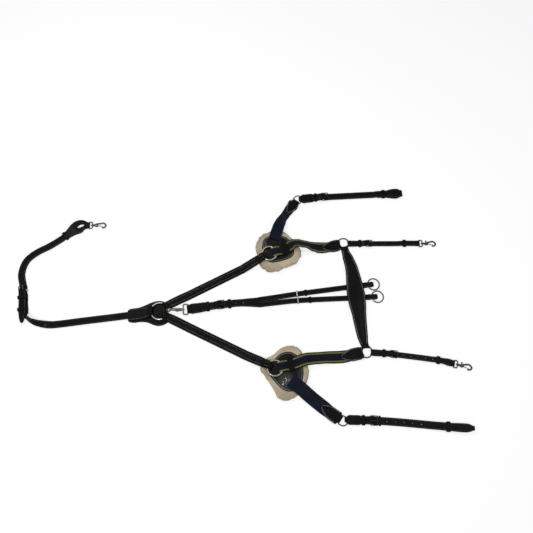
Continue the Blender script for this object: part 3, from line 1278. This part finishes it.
# Side straps: points beyond the dee, then the width of the folded end at the dee, the length
# of the girth loop and its widest part
SIDE_ROUTE = {"left": [(640.0, -327.5), (718.0, -332.4), (863.0, -345.3), (926.0, -349.1)],
              "right": [(500.0, 393.5), (577.0, 398.0), (700.0, 404.5), (779.0, 407.5)]}
SIDE_START = {"left": (12.9, -325.3), "right": (13.3, 387.0)}
SIDE_FORM = {"left": (28.0, 62.0, 25.0), "right": (31.0, 50.0, 32.5)}


def side_strap(side):
    """The strap from the side dee to the girth, folded into a loop at its end."""
    slack = DEE_SLACK[side]
    ahead, y = SIDE_START[side]
    route = Route([(DEE_AT[side][0] + ahead - slack, y)] + SIDE_ROUTE[side])
    length = route.length
    flare, loop, bulge = SIDE_FORM[side]
    tip, heel, join = 27.0 + slack, 66.0 + slack, length - loop - 8.0
    body = "side_strap_" + side
    bm = bmesh.new()
    broad = ((0.0, 15.0), (3.0, 20.0), (8.0, 27.5), (12.0, flare), (34.0 + slack, flare), (41.0 + slack, 23.0))
    lining = chape(bm, route, heel, broad, DEE[1], slack + 1.0, (), {"left": 41.0, "right": 43.0}[side])
    lining.stitches(2.6, 10.0, heel - 10.0)
    height, thick = over_buckle(tip, heel)
    height += [(join - 34.0, 4.0), (join - 20.0, 7.4), (join + 8.0, 7.4), (join + 26.0, 10.6),
               (length - 8.0, 10.6), (length, 10.4)]
    line = strip_line(length, height, thick, first=tip, end=(6.6, 2.6, 3.3, loop + 30.0, 2.3, 0.0))
    width = ((0.0, 23.0), *to_end(length, (loop + 2.0, 23.0), (0.75 * loop, 0.5 * (23.0 + bulge)),
                                  (0.45 * loop, bulge), (0.25 * loop, bulge - 0.5), (8.0, bulge - 4.0),
                                  (3.0, bulge - 9.0), (0.0, bulge - 12.0)))
    point = ((0.0, 4.0), (1.0, 9.0), (3.0, 15.0), (6.0, 19.5), (10.0, 23.0))
    billet = Ribbon(route, line, pointed(tip, point, width), folds=((length, -1),), wave=0.45,
                    seed={"left": 47.0, "right": 53.0}[side])
    billet.build(bm, holes_at(billet, heel, 48.0, 25.0, 5), step=4.0)
    billet.stitches(2.8, tip + 8.0, heel - 6.0)
    billet.stitches(2.8, heel + 24.0, length - 4.0)
    keeper(bm, route, 46.0 + slack, 24.6, STRAP_BASE, CHAPE_TOP + 2.5, 9.0)
    keeper(bm, route, join, 24.8, 2.3, 9.3, 11.0)
    if side == "left":
        keeper(bm, route, heel + BUCKLE_LENGTH + 6.0, 24.8, STRAP_BASE, 5.9, 6.0)
    finished("stitched_" + body, bm, [BRIDLE, THREAD], body, [body])
    buckle("side_" + side, body, route.above(heel, BUCKLE_Z), route.turn(heel), 23.4)


SADDLE_ROUTE = {"left": [(715.0, -134.0), (844.0, -151.0), (892.0, -162.0)],
                "right": [(715.0, 227.1), (780.0, 227.8), (823.0, 227.6)]}
SADDLE_AIM = {"left": -8.0, "right": 0.0}


def saddle_strap(side):
    """The strap from a wither ring to the saddle, with its buckle and snap."""
    centre = WITHER_AT[side]
    route = Route([polar(centre, WITHER_RING[0], SADDLE_AIM[side])] + SADDLE_ROUTE[side])
    length = route.length
    heel = 54.0
    body = "saddle_strap_" + side
    keepers = [(35.0, 19.6, STRAP_BASE, CHAPE_TOP + 2.5), (length - 46.0, 19.6, STRAP_BASE, 8.4)]
    ending = {"left": ((28.0, 17.8), (19.0, 21.5), (9.0, 21.0), (0.0, 17.0)),
              "right": ((6.0, 17.8), (0.0, 17.0))}[side]
    buckled_strap(body, body, [body], route, heel, ((0.0, 17.5), (8.0, 20.5), (22.0, 20.5), (30.0, 18.2)),
                  to_end(length, *ending), WITHER_RING[1], (centre, WITHER_RING[0]), 21.0, SNAP_EYE_WIRE, keepers,
                  (40.0, 22.0, {"left": 5, "right": 2}[side]), {"left": 61.0, "right": 67.0}[side])
    buckle("saddle_" + side, body, route.above(heel, BUCKLE_Z), route.turn(heel), 18.2)
    snap("saddle_snap_" + side, route.above(length, LOOP_Z), route.turn(length), SNAP_DIP, 16.6)


BRANCH_WIDTH = 17.5
BRANCH = {"right": [(306.0, 37.6), (360.0, 46.0), (428.0, 56.7), (578.0, 77.4), (652.0, 86.6)],
          "left": [(306.0, 21.6), (360.0, 28.0), (431.0, 35.5), (577.0, 42.6), (662.0, 47.0)]}

# Height of a rein ring in its branch, and how far it is drawn back into the fold
REIN_Z = 5.2
REIN_SHIFT = 3.25 - REIN_RING[1]


def martingale():
    """The strap from the chest ring, its buckle, the fork, its slide and the two rein rings."""
    body = "martingale"
    snap_at = Vector(JOINTS["martingale_snap_swivel"]["pos_m"]) / MM
    bar = (snap_at.x, snap_at.y)
    route = Route([bar, (150.5, 15.8), (217.0, 25.0), (264.0, 28.6), (314.0, 29.6)])
    length = route.length
    heel = 92.0
    width = ((0.0, 25.0), (6.0, 28.0), (12.0, 33.0), (50.0, 30.0), (66.0, 24.0), (length - 60.0, 24.0), (length, 33.0))
    keepers = [(62.0, 26.5, STRAP_BASE, CHAPE_TOP + 2.5, 9.0), (heel + BUCKLE_LENGTH + 16.0, 25.6, STRAP_BASE, 5.9)]
    buckled_strap("martingale_strap", body, ["martingale_fork"], route, heel, width, width, SNAP_EYE_WIRE, (), 34.0,
                  keepers=keepers, spare=(58.0, 22.0, 2), seed=71.0, stop=4.0)
    buckle("martingale", body, route.above(heel, BUCKLE_Z), route.turn(heel), 24.0)
    dip = math.degrees(math.asin((CHEST_RING_Z + 1.6 - LOOP_Z) / (20.0 + SNAP_REACH - 8.4)))
    snap("martingale_snap", (*bar, LOOP_Z), heading_of(bar, CHEST_AT), -dip, 27.0, 15.0, SNAP_REACH, 6.9, 2.1, 5.0,
         90.0, BRASS, bold=1.25, eye_body=body)
    for side in SIDES:
        line = Route(BRANCH[side])
        reach = line.length
        run = strip_line(reach + 13.0, to_end(reach, (22.0, 4.0), (8.0, 7.4), (-4.0, 8.9), (-16.0, 7.2)),
                         to_end(reach, (20.0, 3.3), (4.0, 2.4)), end=(4.9, 1.7, 2.2, 32.0, 1.5, 0.0))
        width = to_end(reach, (7.0, BRANCH_WIDTH), (2.5, 15.0), (-2.5, 15.0), (-7.0, BRANCH_WIDTH - 0.5),
                       (-13.0, BRANCH_WIDTH - 1.5), (-17.0, BRANCH_WIDTH - 6.0))
        strip = Ribbon(line, run, width, wave=0.35, folds=((reach + 13.0, -1),),
                       seed={"left": 73.0, "right": 79.0}[side])
        sewn("stitched_branch_" + side, strip, [BRIDLE, THREAD], body, [], (2.6, 6.0, reach + 10.0))
        bm = bmesh.new()
        keeper(bm, line, {"right": 150.0, "left": 162.0}[side], BRANCH_WIDTH + 0.1, STRAP_BASE,
               STRAP_BASE + STRAP_THICK, 7.0, 1.5)
        finished("rein_stop_band_" + side, bm, [BRIDLE], "rein_stop_" + side, ["rein_stop_" + side])
        rein_dip = math.degrees(math.asin((REIN_Z - REIN_RING[1]) / (2 * REIN_RING[0])))
        place = setting(line.above(reach, REIN_Z), line.turn(reach), rein_dip)
        ring("rein_ring_" + side, REIN_RING[0] + 0.6, REIN_RING[1] + 0.15, STEEL,
             place @ Matrix.Translation((REIN_RING[0] - REIN_SHIFT, 0, 0)))
    right, left = (Route(BRANCH[side]).at(at)[0] for side, at in (("right", 122.0), ("left", 123.5)))
    middle, apart = (right + left) / 2, right - left
    turn = math.degrees(math.atan2(apart.y, apart.x)) - 90.0
    tall = 0.5 * STRAP_THICK + 0.8
    reach = 0.5 * apart.length + 0.5 * BRANCH_WIDTH + 2.1
    bm = bmesh.new()
    outline = rounded_frame(tall + 0.65, 2 * reach, 1.4, 6, -tall - 0.65)
    wire(bm, [(0.0, y, x) for x, y, _ in outline], 0.75, closed=True, sides=12)
    wire(bm, [(0.0, 0.0, z) for z in (-tall, 0.0, tall)], 0.75, sides=12)
    bmesh.ops.scale(bm, vec=(2.3, 1.0, 1.0), verts=bm.verts)
    bm.transform(setting((middle.x, middle.y, STRAP_BASE + 0.5 * STRAP_THICK), turn))
    finished("two_window_slide", bm, [NICKEL], "fork_slide", ["fork_slide"])


# Elastics

INNER = {"left": [(399.0, -168.0), (414.0, -164.5), (454.0, -150.5), (506.0, -144.0), (560.0, -141.5),
                  (592.0, -135.0)],
         "right": [(366.0, 193.0), (392.0, 203.5), (421.0, 219.0), (451.0, 219.5), (484.0, 214.5), (515.0, 213.0),
                   (545.0, 217.5)]}
OUTER = {"left": [(392.0, -207.4), (440.0, -244.0), (490.0, -284.0), (522.0, -309.0)],
         "right": [(355.0, 236.0), (369.0, 275.0), (389.0, 316.0), (410.0, 350.0)]}


def tab(node, whole, hood, low_width, ending, wire_r, slack, bow, seed, roll=((0.0, 0.0),), height=((0.0, 5.9),),
        rest=None):
    """A leather end that holds a web between its two plies and wraps a ring or bar."""
    route = Route(whole.even(5, hood))
    reach = route.length
    roll = tuple((s - hood, turn) for s, turn in roll)
    height = [(s - hood, z) for s, z in height] + [(reach - 6.0, 6.0)]
    line = strip_line(reach, height, ((0.0, 2.4),), end=(LOOP_Z, wire_r, 2.1, 0.75 * reach, 1.1, slack))
    width = ((0.0, 3.0), (1.5, 7.5), (4.0, 12.5), (8.0, 18.5), (13.0, 24.0), (19.0, 29.0), (26.0, low_width - 4.0),
             (34.0, low_width), *to_end(reach, *ending))
    strip = Ribbon(route, line, width, roll=roll, folds=((reach, -1, *bow),), wave=0.15, seed=seed, rest=rest)
    sewn("stitched_" + node, strip, [BRIDLE, PALE_THREAD], "harness", [node], (2.4, 2.0, reach - 10.0), 2.5, 1.6)


def inner_elastic(side):
    """The striped elastic from a pad ring to a wither ring, sewn down on the pad."""
    centre, wither = PAD_RING_AT[side], WITHER_AT[side]
    inside = WITHER_RING[0] - WITHER_SLACK
    first = polar(centre, PAD_RING[0] - PAD_SLACK, heading_of(centre, INNER[side][0]))
    whole = Route([first] + INNER[side] + [polar(wither, inside, heading_of(wither, INNER[side][-1]))])
    cut = whole.length - 28.0
    route = Route(whole.even(14, 0.0, cut))
    roll = {"left": ((91.0, 0.0), (114.0, -8.0), (139.0, -8.0), (165.0, 0.0)),
            "right": ((47.0, 0.0), (81.0, -28.0), (114.0, -32.0), (139.0, -14.0), (153.0, 0.0))}[side]
    width = ((0.0, 30.0), (12.0, 33.0), (24.0, 37.0), (33.0, 38.0), (cut - 26.0, 38.0), (cut, 34.0))
    drop = {"left": ((76.0, PATCH_TOP + 1.85), (89.0, 18.5), (103.0, 10.5), (123.0, STRAP_BASE + 1.5)),
            "right": ((69.0, PATCH_TOP + 1.85), (83.0, 18.5), (105.0, 10.5), (133.0, STRAP_BASE + 1.5))}[side]
    line = strip_line(cut, ((39.0, PATCH_TOP + 1.9), *drop), ((0.0, 2.0),),
                      start=(PAD_RING_Z, PAD_RING[1], 2.0, 26.0 + PAD_SLACK, PATCH_TOP + 1.4, PAD_SLACK + 2.5))
    strip = Ribbon(route, line, width, WEB, roll=roll, folds=((0.0, 1),), wave=0.5,
                   seed={"left": 83.0, "right": 89.0}[side])
    across_at, across_long = {"left": (35.0, 18.0), "right": (37.0, 26.0)}[side]
    band = bmesh.new()
    keeper(band, route, across_at, 38.5, PATCH_TOP + 0.8, PATCH_TOP + 3.2, across_long, 1.5)
    finished("stitched_cross_band_" + side, band, [BRIDLE], "harness", [])
    sewn("striped_elastic_" + side, strip, [STRIPED], "harness", ["inner_elastic_" + side], step=3.0)
    tab("inner_tab_" + side, whole, cut - {"left": 36.0, "right": 28.0}[side], 38.5,
        ((14.0, 38.5), (8.0, 33.0), (4.0, 25.0), (0.0, 20.0)), WITHER_RING[1], WITHER_SLACK + 1.0,
        (wither, inside), 97.0)


def outer_elastic(side):
    """The plain elastic from a pad to the side dee."""
    whole = Route(OUTER[side] + [dee_bar(side)])
    length = whole.length
    cut = length - 28.0
    roll = {"left": ((0.0, 0.0),),
            "right": ((30.0, 0.0), (58.0, 34.0), (84.0, 56.0), (104.0, 54.0), (124.0, 40.0), (length - 14.0, 22.0),
                      (length - 3.0, 0.0))}[side]
    wide = {"left": 41.0, "right": 38.0}[side]
    width = ((0.0, wide - 5.0), (24.0, wide), (cut - 26.0, wide), (cut, wide - 4.0))
    height = ((0.0, PATCH_TOP + 1.35), (38.0, PATCH_TOP + 1.35), (56.0, 19.0), (74.0, 10.0), (94.0, STRAP_BASE + 1.0),
              (cut, STRAP_BASE + 1.0))
    line = strip_line(cut, height, ((0.0, 2.0),), first={"left": 12.0, "right": 0.0}[side])
    strip = Ribbon(Route(whole.even(8, 0.0, cut)), line, width, WEB, roll=roll, wave=0.6,
                   seed={"left": 101.0, "right": 103.0}[side], rest=0.5 * wide)
    sewn("plain_elastic_" + side, strip, [NAVY], "harness", ["outer_elastic_" + side], step=3.0)
    ending = {"left": ((10.0, 38.5), (3.4, 37.0), (2.4, 24.0), (0.0, 23.5)),
              "right": ((18.0, 37.0), (10.0, 32.0), (4.0, 26.0), (0.0, 21.0))}[side]
    over = [(s, z + 2.7 + 1.6 * math.sin(math.radians(along(s, roll, eased)))) for s, z in height]
    tab("outer_tab_" + side, whole, cut - {"left": 38.0, "right": 32.0}[side], ending[0][1], ending, DEE[1], 0.0, (),
        107.0, roll, over, 0.5 * wide)
    dee(side)


# Shoulder pads

FLEECE_OUTLINE = {
    "left": [(309.0, -176.0), (325.0, -146.0), (349.0, -132.0), (370.0, -114.5), (400.0, -104.5), (425.0, -111.0),
             (442.0, -129.0), (459.5, -172.0), (453.0, -220.0), (430.0, -257.0), (394.0, -273.5), (365.0, -267.0),
             (343.0, -235.0), (321.0, -203.0)],
    "right": [(294.0, 217.0), (301.0, 243.0), (317.0, 258.0), (337.0, 266.0), (362.0, 268.0), (386.0, 268.5),
              (406.0, 256.5), (424.0, 239.0), (437.0, 219.0), (444.0, 197.0), (440.0, 175.0), (424.0, 150.0),
              (394.0, 137.0), (365.0, 126.5), (338.0, 126.5), (321.0, 135.0), (309.0, 149.0), (296.0, 187.0)]}
PATCH_OUTLINE = {
    "left": [(333.0, -184.0), (350.5, -157.0), (373.0, -135.5), (398.0, -129.0), (421.0, -139.0), (436.0, -163.0),
             (440.5, -194.0), (434.0, -221.0), (420.0, -239.0), (397.0, -246.5), (375.0, -238.0), (353.5, -216.0)],
    "right": [(316.5, 205.0), (320.0, 229.0), (331.0, 244.0), (358.0, 249.0), (388.0, 246.0), (405.0, 233.0),
              (417.0, 208.0), (418.0, 186.0), (406.0, 172.0), (386.0, 164.0), (364.0, 158.5), (342.0, 158.0),
              (324.0, 167.0), (317.0, 184.0)]}

# Swelling of the patches from their flat rims on, mounds on them and scallops of the fleece
PATCH_DOME = tuple((7.4 + 2.0 * k, 1.7 * (1.0 - math.exp(-0.3 * k))) for k in range(21))

MOUNDS = {"left": ((391.5, -213.0, 9.0, 2.6), (382.5, -221.5, 7.0, 1.9)), "right": ((400.0, 185.0, 12.0, 1.0),)}
SCALLOP = {"left": 1.8, "right": 3.4}


def inflated(name, mesh, amount):
    """Swell a closed shape with cloth pressure and return the finished mesh."""
    body = shown(name + "_blank", mesh)
    bpy.context.view_layer.objects.active = body
    rest = body.modifiers.new("even", "REMESH")
    rest.mode = "VOXEL"
    rest.voxel_size = 0.0045
    cloth = body.modifiers.new("cloth", "CLOTH")
    cloth.settings.use_pressure = True
    cloth.settings.uniform_pressure_force = 4.0
    cloth.settings.effector_weights.gravity = 0.0
    cloth.settings.tension_stiffness = 20.0
    cloth.settings.compression_stiffness = 12.0
    cloth.settings.bending_stiffness = 0.8
    cloth.point_cache.frame_start = 1
    cloth.point_cache.frame_end = 20
    scene = bpy.context.scene
    scene.frame_set(1)
    seen = body.evaluated_get(bpy.context.evaluated_depsgraph_get()).to_mesh()
    before = [v.co.copy() for v in seen.vertices]
    for count in range(2, 21):
        scene.frame_set(count)
    grown = bpy.data.meshes.new_from_object(body.evaluated_get(bpy.context.evaluated_depsgraph_get()))
    for v, old in zip(grown.vertices, before):
        move = v.co - old
        if move.length > amount * MM:
            v.co = old + move.normalized() * amount * MM
    bpy.data.objects.remove(body)
    scene.frame_set(1)
    return grown


# Profile of a pad, as (share of the outline, height)
PAD_PROFILE = ((0.06, 0.3), (0.5, 0.3), (0.88, 0.3), (0.94, 1.2), (0.975, 3.0), (0.995, 5.5), (1.0, 8.0), (0.99, 10.5),
               (0.965, 12.8), (0.925, 14.8), (0.87, 16.4), (0.80, 17.4), (0.70, 17.9), (0.5, 17.8), (0.3, 17.8),
               (0.06, 17.8))


def fleece_pad(side):
    """A thick wool pad: wavy outline, pressed flat under the patch, locks all over it."""
    centre, half = PAD_AT[side], PAD_HALF[side]
    patch, reach = PATCH_AT[side], PATCH_HALF[side]
    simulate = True
    shrink = 0.985 if simulate else 1.0
    outline = smoothed(FLEECE_OUTLINE[side], 9)
    bm = bmesh.new()
    laid(bm, [[Vector((centre[0] + (p.x - centre[0]) * share * shrink,
                       centre[1] + (p.y - centre[1]) * share * shrink, height)) for p in outline]
              for share, height in PAD_PROFILE])
    bmesh.ops.recalc_face_normals(bm, faces=bm.faces)
    if simulate:
        bm.transform(Matrix.Scale(MM, 4))
        blank_mesh = bpy.data.meshes.new("fleece_blank_" + side)
        bm.to_mesh(blank_mesh)
        bm.free()
        swollen = inflated("fleece_" + side, blank_mesh, 4.0)
        bm = bmesh.new()
        bm.from_mesh(swollen)
        bm.transform(Matrix.Scale(1.0 / MM, 4))
    for longest in (3.2, 2.4):
        edges = [e for e in bm.edges if e.calc_length() > longest]
        bmesh.ops.subdivide_edges(bm, edges=edges, cuts=1, use_grid_fill=True)
    bmesh.ops.triangulate(bm, faces=bm.faces)
    hollow = bm.verts.layers.float.new("hollow")
    rim = bm.verts.layers.float.new("rim")
    bm.normal_update()
    moves = []
    for v in bm.verts:
        p = v.co
        u = ((p.x - patch[0]) / reach[0], (p.y - patch[1]) / reach[1])
        under = clamped((1.12 - math.hypot(*u)) / 0.14) if p.z > 12.0 else 0.0
        curl = 0.0
        for scale, share in ((6.5, 0.6), (3.2, 0.4)):
            curl += share * (1.0 - 2.2 * abs(noise.noise(p / scale)))
        long_wave = noise.noise(p / 24.0)
        flat = 1.0 if p.z > 2.0 else 0.15
        out = math.hypot((p.x - centre[0]) / half[0], (p.y - centre[1]) / half[1])
        scallop = clamped((out - 0.7) / 0.2) * noise.noise(Vector((p.x / 11.0, p.y / 11.0, 0.4)))
        push = (1.5 * curl + 1.3 * long_wave + SCALLOP[side] * scallop - 0.6) * (1.0 - under) * flat
        moves.append((v, v.normal * push, under))
        v[hollow] = clamped(0.5 - curl * 0.6 - scallop)
        v[rim] = clamped((out - 0.85) / 0.15)
    for v, move, under in moves:
        v.co += move
        if under:
            v.co.z = min(v.co.z, 18.2)
        v.co.z = max(v.co.z, 0.05)
    made = finished("wool_pad_" + side, bm, [WOOL], "harness", ["fleece_pad_" + side], 180.0, 0.02)
    plate("glossy_pad_patch_" + side, PATCH_OUTLINE[side], 1.3, PATCH_LOW - 0.1, GLOSSY, "harness",
          ["pad_leather_" + side], inset=4.2, dome=PATCH_DOME, mounds=MOUNDS[side], sewn_with=PALE_THREAD)


girth_part()
ring("chest_ring", *CHEST_RING, NICKEL, setting((*CHEST_AT, CHEST_RING_Z)))
martingale()
wither_strap()
for flank in SIDES:
    shoulder_strap(flank)
    fleece_pad(flank)
    ring("pad_ring_" + flank, *PAD_RING, NICKEL, setting((*PAD_RING_AT[flank], PAD_RING_Z)))
    ring("wither_ring_" + flank, *WITHER_RING, STEEL, setting((*WITHER_AT[flank], LOOP_Z)))
    inner_elastic(flank)
    outer_elastic(flank)
    side_strap(flank)
    saddle_strap(flank)


# Floor, light and camera

def looked_at(tree):
    """1 for what the camera sees, straight, mirrored or through glass, and 0 for other light."""
    ray = add(tree, "LightPath")
    direct = maths(tree, "MAXIMUM", (ray, "Is Camera Ray"), (ray, "Is Glossy Ray"))
    return maths(tree, "MAXIMUM", direct, (ray, "Is Transmission Ray"))


def studio():
    """A pale floor that keeps the shadow, soft lamps and a white surround."""
    floor_mesh = bpy.data.meshes.new("studio_floor")
    bm = bmesh.new()
    bmesh.ops.create_grid(bm, x_segments=1, y_segments=1, size=30.0)
    bm.transform(Matrix.Translation((0.25, 0.0, -0.0008)))
    bm.to_mesh(floor_mesh)
    bm.free()
    floor = shown("studio_floor", floor_mesh)
    made = bpy.data.materials.new("studio_white")
    made.use_nodes = True
    tree = made.node_tree
    tree.nodes.clear()
    matt = add(tree, "BsdfDiffuse", Color=(0.86, 0.86, 0.86, 1.0))
    white = add(tree, "Emission", Color=(1.0, 1.0, 1.0, 1.0), Strength=1.0)
    half = add(tree, "MixShader", {1: (matt, 0), 2: (white, 0)}, Fac=0.72)
    both = add(tree, "MixShader", {0: looked_at(tree), 1: (matt, 0), 2: (half, 0)})
    add(tree, "OutputMaterial", {"Surface": (both, 0)})
    floor_mesh.materials.append(made)

    world = bpy.data.worlds.new("studio_world")
    bpy.context.scene.world = world
    world.use_nodes = True
    tree = world.node_tree
    tree.nodes.clear()
    level = maths(tree, "MULTIPLY_ADD", looked_at(tree), 0.55, 0.45)
    back = add(tree, "Background", {"Strength": level}, Color=(1.0, 1.0, 1.0, 1.0))
    add(tree, "OutputWorld", {"Surface": (back, 0)})

    for name, spot, aim, size, power in (
            ("key_lamp", (-0.45, -0.95, 1.9), (0.25, 0.0, 0.0), 0.6, 22.0),
            ("upper_lamp", (-0.55, 0.95, 1.8), (0.25, 0.0, 0.0), 0.8, 17.0),
            ("fill_lamp", (1.5, 0.1, 1.8), (0.3, 0.0, 0.0), 1.5, 12.0)):
        data = bpy.data.lights.new(name, "AREA")
        data.shape = "DISK"
        data.size = size
        data.energy = power
        lamp = shown(name, data)
        lamp.location = spot
        lamp.rotation_euler = (Vector(aim) - Vector(spot)).to_track_quat("-Z", "Y").to_euler()

    data = bpy.data.cameras.new("photo_camera")
    data.sensor_width = 36.0
    data.lens = 37.82
    camera = shown("photo_camera", data)
    camera.location = (0.330889, -0.462950, 1.683929)
    camera.rotation_euler = (math.radians(20.0), 0.0, 0.0)
    bpy.context.scene.camera = camera
    bpy.context.scene.view_settings.view_transform = "Standard"


studio()
